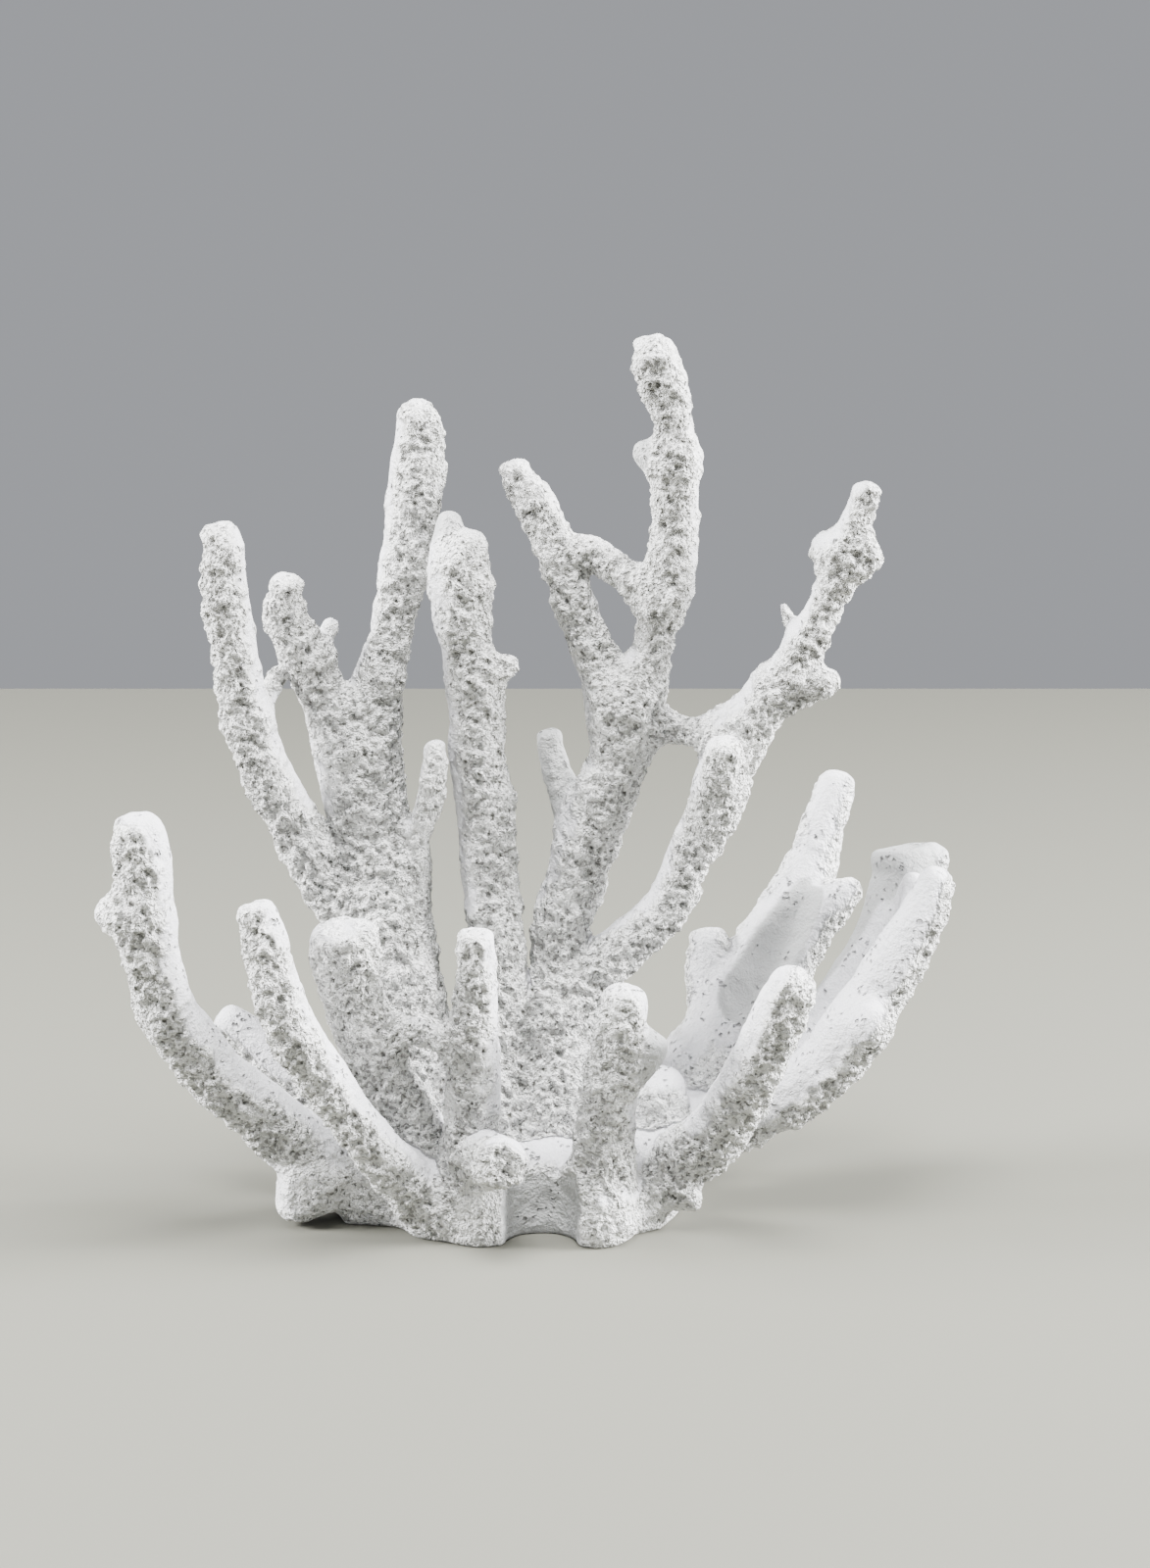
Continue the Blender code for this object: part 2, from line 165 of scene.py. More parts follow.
# %% Centre spire, middle trunk and its forks
CENTRE_LIMBS = (
    Limb(
        "centre_spire",
        ((-5, 0, 20, 11), (-3, 1, 45, 9), (-4, 1, 62, 7.8), (-5, 0, 78, 7.3), (-6, 0, 90, 7.4),
         (-7, -1, 106, 7.4), (-9, -2, 121, 7), (-9, -2, 134, 7), (-11, -3, 146, 6.5),
         (-12.5, -4, 158, 7.6), (-13.5, -5, 167, 6.4), (-13.5, -5, 172, 5.6)),
        "holdfast", 3,
    ),
    # Two tips, a smooth one behind and a blunt one in front, and a nub lower down.
    Limb(
        "centre_spire",
        ((-14.5, -3, 166, 4.6), (-15.5, -3, 176, 3.8), (-15.5, -3, 181.5, 3)),
        polish_and_shade=0.8,
    ),
    Limb("centre_spire", ((-11, -6, 165, 4.6), (-10, -6, 173, 4), (-9.5, -6, 176.5, 3.2))),
    Limb("centre_spire", ((-10, -3, 139, 4.6), (-4, -6, 143, 3.8), (1, -8, 144.5, 2.4))),
    Limb(
        "middle_trunk",
        ((9, 2, 18, 14), (11, 3, 40, 11), (12, 4, 60, 8.2), (13, 4, 76, 7.4), (16, 4, 85, 7.8),
         (19, 3, 96, 8), (23, 2, 107, 7.8), (27, 1, 117, 7.7), (28, 1, 126, 7.8), (29, 0, 136, 8.6)),
        "holdfast", 3, worn=0.0,
    ),
    # Finger on the left of the trunk, behind it. Its polish paints it grey, as shade.
    Limb(
        "middle_trunk",
        ((19, 5, 98, 5.6), (13.5, 9, 107.5, 4.4), (10.5, 12, 116, 3.8), (9, 13, 122.5, 3.6)),
        polish_and_shade=0.8,
    ),
    Limb(
        "middle_left_fork",
        ((27, 1, 132, 6.5), (22, 2, 143, 5.8), (19, 3, 150, 5.2), (16, 5, 157.5, 5.2),
         (13, 7, 166, 4.7), (9, 9, 175, 5), (5.5, 10, 183, 5.3), (2, 11, 188, 4.1), (0, 11, 192, 3.5)),
        "middle_trunk", 2,
    ),
    Limb(
        "tallest_spire",
        ((31, 0, 132, 7), (34, -1, 142, 5.8), (36, -1, 150, 5.1), (37.5, -2, 158, 6.2),
         (40, -3, 167, 6.4), (41, -4, 178, 6), (41, -5, 188, 5.9), (41, -7, 194.5, 6.4),
         (41, -8, 202.5, 4.7), (39, -9, 211.5, 5.6), (37, -10, 217.5, 5.9), (35.5, -10, 222.5, 5.2),
         (35, -10, 225.5, 4.2)),
        "middle_trunk", 2,
    ),
    # Tooth on the left of the tallest spire.
    Limb(
        "tallest_spire",
        ((40, -7, 196.5, 3.8), (33.5, -7, 197.5, 2.8), (31.5, -6, 199.5, 2)),
        polish_and_shade=0.9,
    ),
    # Bridge from the left fork to the tallest spire.
    Limb(
        "tallest_spire",
        ((12, 7, 168, 4), (19, 6, 170.5, 4), (24, 4, 169, 4.2), (30, 1, 165, 4.3), (38, -2, 160, 4.8)),
        "middle_left_fork", 1, bridge=True,
    ),
)
print(len(CENTRE_LIMBS), "routes in the middle")

# %% [markdown]
# ## The arm and the broad limbs on the right
#
# The long arm has nubs on all its sides. The two limbs behind it are broad and dished. A flattened
# limb could be scaled from a round one, but side by side routes leave its edges where they are wanted.

# %% Right arm, back limb and outer limb
RIGHT_LIMBS = (
    Limb(
        "right_arm",
        ((10, 3, 52, 8), (20, 2, 61, 7.5), (29, 1, 69, 6.8), (37, -1, 77, 6.2), (42, -3, 85, 6),
         (46, -4, 96, 6), (51, -5, 106, 6.4), (54, -5, 116, 7.2), (58, -6, 126, 7.6),
         (64, -7, 134.5, 6.5), (70.5, -8, 144, 5), (75.5, -9, 153, 4.7), (79.5, -10, 161.5, 4.5),
         (83.5, -11, 170.5, 5.2), (85, -12, 178.5, 4.3), (87.5, -13, 185.5, 3.8),
         (88.5, -13, 189.5, 3.8)),
        "holdfast", 2,
    ),
    # Bridge from the middle trunk to the arm.
    Limb(
        "right_arm",
        ((27, 1, 127, 6), (35, 0, 127, 5), (40, 0, 127, 4), (47, -2, 126, 3.8), (57, -4, 127, 4.6)),
        "middle_trunk", 2, bridge=True,
    ),
    # Upright stub in front of the bridge.
    Limb(
        "right_arm",
        ((52, -7, 108, 4.8), (52, -13, 115, 4.7), (53, -17, 122, 4.6), (53.5, -18, 126, 4.2)),
    ),
    # Nubs: one blunt on the right, two near the tip, one small on the back.
    Limb("right_arm", ((67, -7, 138.5, 4.6), (76, -10, 140, 4.2), (81, -12, 141, 3.6))),
    Limb("right_arm", ((83, -11, 172, 4.4), (88.5, -12, 172.5, 3.6), (92, -12, 172.5, 2.4))),
    Limb("right_arm", ((83.5, -9, 171.5, 4.4), (78.5, -6, 173.5, 3.4), (76.5, -4, 174.5, 2.4))),
    Limb("right_arm", ((73.5, -6, 150, 2.8), (70, -1, 155, 2), (68.5, 1, 158.5, 1.6))),
    Limb(
        "right_back_limb",
        ((34, 11, 14, 12), (44, 17, 24, 12), (54, 24, 35, 12), (63.5, 31, 49.5, 12),
         (70.5, 36, 61, 11), (75.5, 40, 72.5, 8.6), (79.5, 43, 82, 6.7), (82, 45, 91, 6.1),
         (85, 47, 99, 5.6), (86.5, 48, 103, 5)),
        "holdfast", 2, polish_and_shade=0.48,
    ),
    # Its side prong and its knob.
    Limb(
        "right_back_limb",
        ((69.5, 35, 59, 9), (79.5, 35, 69, 7.7), (86, 34, 74, 5.2), (91, 34, 76.5, 3)),
    ),
    Limb("right_back_limb", ((58, 28, 43, 10), (53.5, 31, 52.5, 8), (51, 32, 64, 4.9))),
    Limb(
        "right_outer_limb",
        ((38, 2, 15, 11), (52, -1, 21, 9), (62, -4, 26, 8), (72, -7, 32.5, 8), (82, -9, 42, 8),
         (90, -10, 54, 8), (97, -10, 66, 7.5), (103, -10, 77, 6.4), (107, -9, 86, 5),
         (108.5, -9, 90.5, 3.8)),
        "holdfast", 2,
    ),
    # Broad slab behind the outer limb, with a trough between the two. Its high polish paints it grey,
    # as shade.
    Limb(
        "right_outer_limb",
        ((70, -3, 32, 7.5), (79, 5, 43, 8), (88, 10, 53.5, 8.4), (96, 14, 65, 8.6),
         (100.5, 17, 77, 8.6), (102.8, 18.6, 84.3, 8.9), (102.4, 19, 87.3, 8.9)),
        polish_and_shade=0.9, rim=1.0,
    ),
    # Floor of the trough.
    Limb(
        "right_outer_limb",
        ((78, 0, 40, 7), (88, 1, 53, 7), (96, 3, 66, 6.5), (101, 4, 77, 6), (105, 5, 85, 4.6)),
        polish_and_shade=0.5,
    ),
    # Raised right corner of the slab, and a stub low on the outer face.
    Limb(
        "right_outer_limb",
        ((101.5, 18, 70, 6.2), (104.5, 18, 78.5, 5.6), (107.8, 18, 85.5, 4.8), (110, 18, 90.5, 3.6)),
        polish_and_shade=0.7, rim=2.0,
    ),
    Limb("right_outer_limb", ((86, -9, 49, 6), (90, -16, 53, 6), (92, -20, 54, 4.8))),
)
print(len(RIGHT_LIMBS), "routes on the right")

# %% [markdown]
# ## The front row
#
# Stumps and fingers lean out over the edge of the crust. The stump on the left ends square, as if it
# was snapped off, so its two corners are thin routes with a sharp rim. A web arches from it to the
# stump in the middle, over a pocket.

# %% Front stumps, fingers and the far left limb
FRONT_LIMBS = (
    Limb(
        "right_front_limb",
        ((30, -12, 11, 9), (40, -16, 15, 8.5), (50, -21, 24, 8), (56, -26, 34, 7.6),
         (61, -32, 45.5, 7.3), (64.5, -37, 55.5, 7.1), (68, -42, 66, 6.5), (70, -45, 72.5, 5.1)),
        "holdfast", 2,
    ),
    Limb(
        "front_right_stump",
        ((21, -26, 6, 9), (23, -27, 18, 8.2), (24, -29, 30, 7.4), (25, -32, 43, 6.8),
         (27, -35, 55.5, 6.4), (28.5, -37, 66, 5.5)),
        "holdfast", 2,
    ),
    # Its smooth nub.
    Limb(
        "front_right_stump",
        ((26, -33, 45, 4.2), (33, -34, 49, 4.4), (36, -35, 54, 3.8)),
        polish_and_shade=0.85,
    ),
    Limb(
        "front_middle_stump",
        ((-9, -25, 6, 9), (-10, -26, 20, 8), (-10, -28, 34, 7.2), (-9.5, -30, 46.5, 6.8),
         (-9, -32, 59, 6), (-8.5, -34, 71, 4.8), (-8.5, -35, 80.5, 4.5)),
        "holdfast", 2, rim=1.5,
    ),
    Limb(
        "front_left_stump",
        ((-17, -15, 8, 10), (-23, -17, 20, 9), (-28, -20, 31, 8.2), (-33, -24, 43, 7.8),
         (-37, -28, 56.5, 7.8), (-40.5, -32, 70, 7.5), (-41, -35, 80, 7.3)),
        "holdfast", 2, rim=0.8, worn=0.2,
    ),
    # The two corners of its square end.
    Limb(
        "front_left_stump",
        ((-42, -33, 70, 4), (-45, -34.5, 76, 3.6), (-46, -35, 81.3, 3)),
        worn=0.2, rim=0.4,
    ),
    Limb(
        "front_left_stump",
        ((-40, -33, 70, 4), (-38, -34.5, 76, 3.6), (-36.8, -35, 81.6, 3)),
        worn=0.2, rim=0.4,
    ),
    # Web that arches from the left stump to the middle one, over a pocket.
    Limb(
        "front_middle_stump",
        ((-35, -26, 50.5, 4.8), (-27, -29, 54.5, 3.6), (-19, -31, 54, 3.2), (-11, -31, 51.5, 3.6)),
        "front_left_stump", 2, bridge=True,
    ),
    Limb(
        "front_left_finger",
        ((-21, -25, 7, 8), (-27, -30, 16, 7), (-34, -35, 26, 6.4), (-41, -39, 37, 6.2),
         (-47.5, -43, 48.5, 6.5), (-53.5, -46, 59, 6.7), (-57.5, -48, 71.5, 6.1),
         (-59.5, -50, 83, 5.7), (-61.5, -51, 91.5, 4.7)),
        "holdfast", 2,
    ),
    Limb(
        "small_left_limb",
        ((-40, 3, 16, 7), (-48, 3, 24.5, 6), (-56, 3, 33, 5.6), (-64.5, 4, 40, 5.6),
         (-70.5, 5, 45.5, 5.2), (-75, 6, 48.5, 4.3)),
        "holdfast", 2,
    ),
    Limb(
        "far_left_limb",
        ((-42, -7, 12, 9), (-52, -12, 18, 9), (-61, -17, 27, 8.4), (-67.5, -21, 34.5, 8),
         (-74.5, -25, 42, 7.8), (-80, -29, 51, 7.6), (-85, -33, 60, 7.4), (-88, -36, 71.5, 7.1),
         (-90.2, -38, 82.5, 7.5), (-89.8, -40, 93.5, 6.9), (-90.4, -41, 104, 7.1),
         (-91, -42, 110.5, 5.8)),
        "holdfast", 3,
    ),
    # Its nub, on the outer side.
    Limb("far_left_limb", ((-90, -38, 85.5, 5.2), (-96.5, -39, 87.5, 4.4), (-100.5, -40, 88, 3))),
)
print(len(FRONT_LIMBS), "routes in front")

# %% [markdown]
# ## Hollows
#
# A limb can be dished or undercut. Hollows could be sculpted afterwards, but here they are routes as
# well, and their balls are taken away from the coral instead of added.

# %% Routes that are taken away, each after its polish; above a half the polish paints the hollow's lining grey, as shade
HOLLOWS = (
    # Trough of the outer right limb.
    (0.55, (
        (93, 3, 92, 8.5), (91, 2, 80, 8.5), (86, 1, 68, 8), (79, -1, 55, 7), (70, -4, 44, 5),
        (61, -8, 37, 3),
    )),
    # Dished face of the limb behind it, painted grey as shade.
    (0.90, ((80, 31, 87, 4), (76, 26, 78, 6.5), (69, 20, 65, 9), (61, 14, 54, 9))),
    # Pocket under the web.
    (0.60, ((-23, -37, 49, 3.5), (-21.5, -36, 44, 5), (-20, -35, 37, 5), (-19, -34, 31, 4))),
    # Hollow in the front of the crust, painted grey as shade.
    (0.90, ((7.5, -33.5, 1, 9), (7.5, -33.5, 12, 9), (7.5, -34, 20, 7))),
)
print(len(HOLLOWS), "hollows")

# %% [markdown]
# ## The smooth side of each piece
#
# Most limbs are rough on one side and nearly bare on another, so each piece has a direction in which
# it is smooth. Painting a mask by hand would do as well, but a direction and an angle follow any
# shape.

# %% Direction of the smooth side, and the cosine at which it ends: 1 is none, 0 is half of the limb
SMOOTH_SIDES = {
    "holdfast": (0.3, 0.1, 0.95, 0.50),
    "left_trunk": (-0.9, -0.1, 0.3, 0.85),
    "left_outer_spire": (0.97, -0.15, 0.1, 0.80),
    "left_short_fork": (-0.5, 0.2, 0.8, 0.90),
    "left_tall_fork": (-0.95, -0.2, 0.1, 0.90),
    "centre_spire": (-0.95, -0.3, 0.0, 0.84),
    "middle_trunk": (-0.95, -0.3, 0.2, 0.90),
    "middle_left_fork": (0.9, -0.2, 0.3, 0.95),
    "tallest_spire": (0.95, -0.2, 0.2, 0.90),
    "right_arm": (-0.8, -0.2, 0.6, 0.88),
    "right_back_limb": (-0.2, -0.9, 0.35, 0.62),
    "right_outer_limb": (-0.75, -0.3, 0.6, 0.15),
    "right_front_limb": (-0.9, -0.2, 0.5, 0.72),
    "front_right_stump": (0.9, -0.2, 0.3, 0.75),
    "front_middle_stump": (0.9, -0.3, 0.2, 0.70),
    "front_left_stump": (-0.8, 0.1, 0.5, 0.70),
    "front_left_finger": (0.8, -0.1, 0.6, 0.74),
    "small_left_limb": (0.3, -0.6, 0.75, 0.15),
    "far_left_limb": (0.72, -0.1, 0.68, 0.42),
}

LIMBS = CRUST_LIMBS + LEFT_LIMBS + CENTRE_LIMBS + RIGHT_LIMBS + FRONT_LIMBS
OWNERS = tuple(dict.fromkeys(limb.owner for limb in LIMBS))
print(len(LIMBS), "routes for", len(OWNERS), "pieces")

# %% [markdown]
# ## From points to a smooth path
#
# Straight runs between the points would look like bent wire. A Catmull-Rom curve passes through
# every point and turns smoothly, and the radius goes along as a fourth number.

# %% Smooth paths
STEP = 1.0


def smooth_path(route):
    """Catmull-Rom curve: between the points b and c, with a before and d after them, the place at
    the share s is half of 2b + (c - a)s + (2a - 5b + 4c - d)s^2 + (3b - a - 3c + d)s^3."""
    points = np.array(route, float)
    ends = (2.0 * points[0] - points[1], 2.0 * points[-1] - points[-2])
    points = np.vstack((ends[0], points, ends[1]))
    before, start, end, after = points[:-3], points[1:-2], points[2:-1], points[3:]
    lengths = np.linalg.norm((end - start)[:, :3], axis=1)
    steps = np.maximum(1, np.round(lengths / STEP)).astype(int)
    span = np.repeat(np.arange(len(steps)), steps)
    first = np.concatenate(([0], np.cumsum(steps)))
    share = ((np.arange(first[-1]) - first[span]) / steps[span])[:, None]
    a, b, c, d = before[span], start[span], end[span], after[span]
    curve = 0.5 * (
        2.0 * b
        + (c - a) * share
        + (2.0 * a - 5.0 * b + 4.0 * c - d) * share**2
        + (3.0 * b - a - 3.0 * c + d) * share**3
    )
    return np.vstack((curve, points[-2])), first


paths = []
for limb in LIMBS:
    path, marks = smooth_path(limb.route)
    cut = marks[limb.parted_at] if limb.grows_on else 0
    paths.append((path[:, :3], path[:, 3], cut))
print(sum(len(path) for path, radii, cut in paths), "balls, about one per millimetre of limb")

# %% [markdown]
# ## A distance field
#
# Where limbs leave the crust the real skeleton flows from one into the other with a soft hollow. A
# boolean union would leave a hard crease there. A distance field doesn't: every point of a fine grid
# holds its distance to the nearest limb, negative inside, and two distances can be blended with a
# minimum that is rounded where they are alike. The cell size, in millimetres, decides the finest
# lump that the mesh can show.

# %% The grid
CELL = 0.65
FAR = 8.0
LOW = np.array((-107.0, -60.0, -1.625))
HIGH = np.array((121.0, 62.0, 232.0))
counts = np.ceil((HIGH - LOW) / CELL).astype(int) + 1
grid_x, grid_y, grid_z = (LOW[axis] + CELL * np.arange(counts[axis]) for axis in range(3))
field = np.full(counts, FAR, np.float32)
print("grid of", counts, "cells,", round(field.nbytes / 1e6), "MB")


def soft_least(one, other, width):
    """Smooth minimum: the lesser of a and b, lowered by h^2 w / 4 with h = max(w - |a - b|, 0) / w
    for a blend of the width w."""
    overlap = np.maximum(width - np.abs(one - other), 0.0) / width
    return np.minimum(one, other) - overlap * overlap * width * 0.25


def grid_window(low, high):
    """First and last places of the grid, on each axis, that cover the box from low to high."""
    first = np.clip(np.floor((low - LOW) / CELL).astype(int), 0, counts)
    last = np.clip(np.ceil((high - LOW) / CELL).astype(int) + 1, 0, counts)
    return first, last


# %% [markdown]
# ## The crust
#
# The foot is a crust with a lobe under each front stump, cut flat below and dished above like a
# shallow basin. It could be a lofted stack of outlines, but limbs have to melt into it, so it is a
# field too: the distance to its outline in plan, moved in and out with the height.

# %% The crust's own distance
FOOT_OUTLINE = np.array((
    (-46, -7), (-43, -17), (-32, -19), (-21, -24), (-14, -33), (-8, -36), (-2, -34),
    (3, -26), (12, -25), (17, -34), (22, -37), (27, -34), (31, -26), (38, -21), (42, -11),
    (45, 2), (41, 15), (30, 25), (14, 30), (-6, 29), (-23, 25), (-37, 16), (-46, 4),
), float)
CRUST_HEIGHTS = (-5.0, 0.0, 5.0, 12.0, 18.0, 23.0)
CRUST_SWELL = (-0.5, 0.0, 1.5, 1.2, -2.6, -8.0)
CRUST_TOP = 23.0
CRUST_EDGE = 6.0
BASIN_DEPTH = 5.0
BASIN_RIM = 8.0
BASIN_SLOPE = 9.0


def outline_distance(x, y):
    """Distance in plan to the nearest side of the outline, negative inside it. A point is inside if
    a ray from it crosses the outline an odd number of times."""
    nearest = np.full(np.broadcast(x, y).shape, 1e9)
    inside = np.zeros(nearest.shape, bool)
    for start, end in zip(FOOT_OUTLINE, np.roll(FOOT_OUTLINE, -1, axis=0)):
        side = end - start
        share = ((x - start[0]) * side[0] + (y - start[1]) * side[1]) / (side @ side)
        share = np.clip(share, 0.0, 1.0)
        away = np.hypot(x - start[0] - share * side[0], y - start[1] - share * side[1])
        nearest = np.minimum(nearest, away)
        crossing = (start[1] > y) != (end[1] > y)
        at = start[0] + (y - start[1]) * side[0] / (side[1] if side[1] else 1e-9)
        inside ^= crossing & (x < at)
    return np.where(inside, -nearest, nearest)


def crust_distance(plan, z):
    """Distance to the crust: the greater of the distance in plan, less the swell at that height,
    and the height above the dished top, with the edge between the two rounded."""
    wall = plan - np.interp(z, CRUST_HEIGHTS, CRUST_SWELL)
    dish = np.clip((-plan - BASIN_RIM) / BASIN_SLOPE, 0.0, 1.0)
    top = CRUST_TOP - BASIN_DEPTH * dish * dish * (3.0 - 2.0 * dish)
    return -soft_least(-wall, -(z - top), CRUST_EDGE)


plan = outline_distance(grid_x[:, None], grid_y[None, :])
low_part = grid_z < 40.0
crust = crust_distance(plan[:, :, None], grid_z[None, None, low_part])
field[:, :, low_part] = np.minimum(field[:, :, low_part], crust)
print("crust reaches", grid_z[low_part][np.any(crust < 0, axis=(0, 1))].max(), "mm up")

# %% [markdown]
# ## Limbs melt into what they grow on
#
# A limb's field is the least distance to a chain of balls along its path. The rounded minimum is
# wide at a limb's root and fades away along it, so that limbs which merely pass each other stay
# apart. A blunt end is a plane that cuts the chain off, again with a rounded edge. Hollows are taken
# away last, with the greater of the two distances instead of the lesser.

# %% The field of one limb
def far_from(point, first, last):
    """Steps from a point to every place of a block, as three arrays that broadcast."""
    return (
        (grid_x[first[0]:last[0]] - point[0])[:, None, None],
        (grid_y[first[1]:last[1]] - point[1])[None, :, None],
        (grid_z[first[2]:last[2]] - point[2])[None, None, :],
    )


def limb_field(path, radii):
    """Least of the distances to the balls: the distance to each centre less that ball's radius."""
    reach = radii.max() + FAR
    first, last = grid_window(path.min(axis=0) - reach, path.max(axis=0) + reach)
    block = np.full(last - first, FAR, np.float32)
    for centre, radius in zip(path, radii):
        near, past = grid_window(centre - radius - FAR, centre + radius + FAR)
        x, y, z = far_from(centre, near, past)
        away = np.sqrt(x * x + y * y + z * z)
        near, past = near - first, past - first
        part = block[near[0]:past[0], near[1]:past[1], near[2]:past[2]]
        np.minimum(part, away - radius, out=part)
    return first, last, block


print("one ball fills a block of about", int((2 * (FAR + 7.0) / CELL) ** 3), "grid points")

# %% Blending the limbs in
ROOT_WIDTH = 6.0
ROOT_REACH = (9.0, 26.0)
PASSING_WIDTH = 0.05
END_RISE = 0.42
for limb, (path, radii, cut) in zip(LIMBS, paths):
    first, last, block = limb_field(path, radii)
    roots = [path[0]]
    if limb.bridge:
        roots.append(path[-1])
    else:
        ahead = path[-1] - path[-4]
        ahead /= np.linalg.norm(ahead)
        x, y, z = far_from(path[-1] + ahead * radii[-1] * END_RISE, first, last)
        block = -soft_least(-block, -(x * ahead[0] + y * ahead[1] + z * ahead[2]), limb.rim)
    width = np.full(block.shape, PASSING_WIDTH, np.float32)
    for root in roots:
        x, y, z = far_from(root, first, last)
        away = np.sqrt(x * x + y * y + z * z)
        fade = 1.0 - np.clip((away - ROOT_REACH[0]) / (ROOT_REACH[1] - ROOT_REACH[0]), 0.0, 1.0)
        width = np.maximum(width, ROOT_WIDTH * fade)
    window = field[first[0]:last[0], first[1]:last[1], first[2]:last[2]]
    window[...] = soft_least(window, block, width)
print("limbs joined,", int((field < 0).sum()), "grid points inside")

# %% Taking the hollows away, and the flat cut
HOLLOW_EDGE = 1.5
hollows = []
for hollow_polish_and_shade, route in HOLLOWS:
    path = smooth_path(route)[0]
    hollows.append((hollow_polish_and_shade, path))
    first, last, block = limb_field(path[:, :3], path[:, 3])
    window = field[first[0]:last[0], first[1]:last[1], first[2]:last[2]]
    window[...] = -soft_least(-window, block, HOLLOW_EDGE)
field = np.maximum(field, -grid_z[None, None, :].astype(np.float32))
print("the coral fills", round((field < 0).sum() * CELL**3 / 1000), "cubic centimetres")

# %% [markdown]
# ## A skin round the field
#
# Marching cubes is the well-known way to turn a field into a mesh. It needs a table of 256 cases and
# makes thin triangles. A surface net is simpler: one vertex in each cell that the surface passes
# through, at the mean of the places where it crosses the cell's edges, and one face for each grid
# edge that it crosses, joining the four cells round that edge.

# %% The surface net
CORNERS = np.array([(i, j, k) for i in (0, 1) for j in (0, 1) for k in (0, 1)])


def surface_net(values):
    """Vertices in grid steps and quads of the surface where the values change sign."""
    inside = values < 0.0
    shape = np.array(values.shape) - 1
    full = np.zeros(shape, np.int8)
    for i, j, k in CORNERS:
        full += inside[i:i + shape[0], j:j + shape[1], k:k + shape[2]]
    crossed = (full > 0) & (full < 8)
    number = np.full(shape, -1, np.int64)
    number[crossed] = np.arange(crossed.sum())
    cells = np.argwhere(crossed)
    at_corner = [values[tuple((cells + corner).T)] for corner in CORNERS]
    total = np.zeros((len(cells), 3))
    hits = np.zeros(len(cells))
    for low_corner in range(8):
        for axis, stride in enumerate((4, 2, 1)):
            if CORNERS[low_corner][axis]:
                continue
            here, there = at_corner[low_corner], at_corner[low_corner + stride]
            crossing = (here < 0.0) != (there < 0.0)
            share = np.where(crossing, here / np.where(crossing, here - there, 1.0), 0.0)
            place = np.tile(CORNERS[low_corner].astype(float), (len(cells), 1))
            place[:, axis] += share
            total += place * crossing[:, None]
            hits += crossing
    vertices = cells + total / hits[:, None]
    faces = []
    for axis in range(3):
        across, up = (axis + 1) % 3, (axis + 2) % 3
        lower = np.moveaxis(inside, (axis, across, up), (0, 1, 2))
        cell_number = np.moveaxis(number, (axis, across, up), (0, 1, 2))
        change = lower[:-1, 1:-1, 1:-1] != lower[1:, 1:-1, 1:-1]
        i, j, k = np.nonzero(change)
        ring = np.stack((
            cell_number[i, j, k], cell_number[i, j + 1, k],
            cell_number[i, j + 1, k + 1], cell_number[i, j, k + 1],
        ), axis=1)
        outward = lower[i, j + 1, k + 1]
        faces.append(np.where(outward[:, None], ring, ring[:, ::-1]))
    return vertices, np.vstack(faces)


vertices, quads = surface_net(field)
vertices = LOW + vertices * CELL
print(len(vertices), "vertices and", len(quads), "quads,", 2 * len(quads), "triangles")

# %% [markdown]
# ## Relaxing the skin
#
# A fresh net shows the steps of its grid. A Smooth modifier would even it out, but it would round the
# flat cut too. Here each vertex moves halfway to the mean of its neighbours, three times, and the
# foot is put back on the table.

# %% Neighbours, normals and relaxing
RELAXING = 3
flat_foot = vertices[:, 2] < 0.05
edge_from = quads.ravel()
edge_to = np.roll(quads, -1, axis=1).ravel()
neighbours = np.bincount(edge_from, minlength=len(vertices)).astype(float)


def around(values):
    """Mean of a value over the vertices that follow each vertex round its faces."""
    if values.ndim == 1:
        return np.bincount(edge_from, values[edge_to], len(vertices)) / neighbours
    return np.stack([around(values[:, n]) for n in range(values.shape[1])], axis=1)


def normals_of(places):
    """Unit normals: the sum of the cross products of the diagonals of the faces round a vertex."""
    one, two, three, four = (places[quads[:, n]] for n in range(4))
    turned = np.repeat(np.cross(three - one, four - two), 4, axis=0)
    total = np.stack([np.bincount(edge_from, turned[:, n], len(places)) for n in range(3)], axis=1)
    return total / np.maximum(np.linalg.norm(total, axis=1, keepdims=True), 1e-12)


for _ in range(RELAXING):
    vertices = 0.5 * vertices + 0.5 * around(vertices)
vertices[flat_foot, 2] = 0.0
normals = normals_of(vertices)
print("relaxed; highest point", round(vertices[:, 2].max(), 1), "mm")

# %% [markdown]
# ## Which limb does a place belong to?
#
# The frame has one node for each limb that leaves a fork, so every vertex needs its limb. It is the
# one whose ball is nearest. The same search gives how far the place is from the limb's tip, for its
# finish. Painting the pieces by hand would do too, but not again after each change of a route.

# %% The nearest ball of each vertex
NO_TIP = 999.0
CRUST_POLISH = 0.4


def close_to(path, reach):
    """Numbers of the vertices in the box round a path, widened by a reach."""
    low, high = path.min(axis=0) - reach, path.max(axis=0) + reach
    return np.flatnonzero(np.all((vertices > low) & (vertices < high), axis=1))


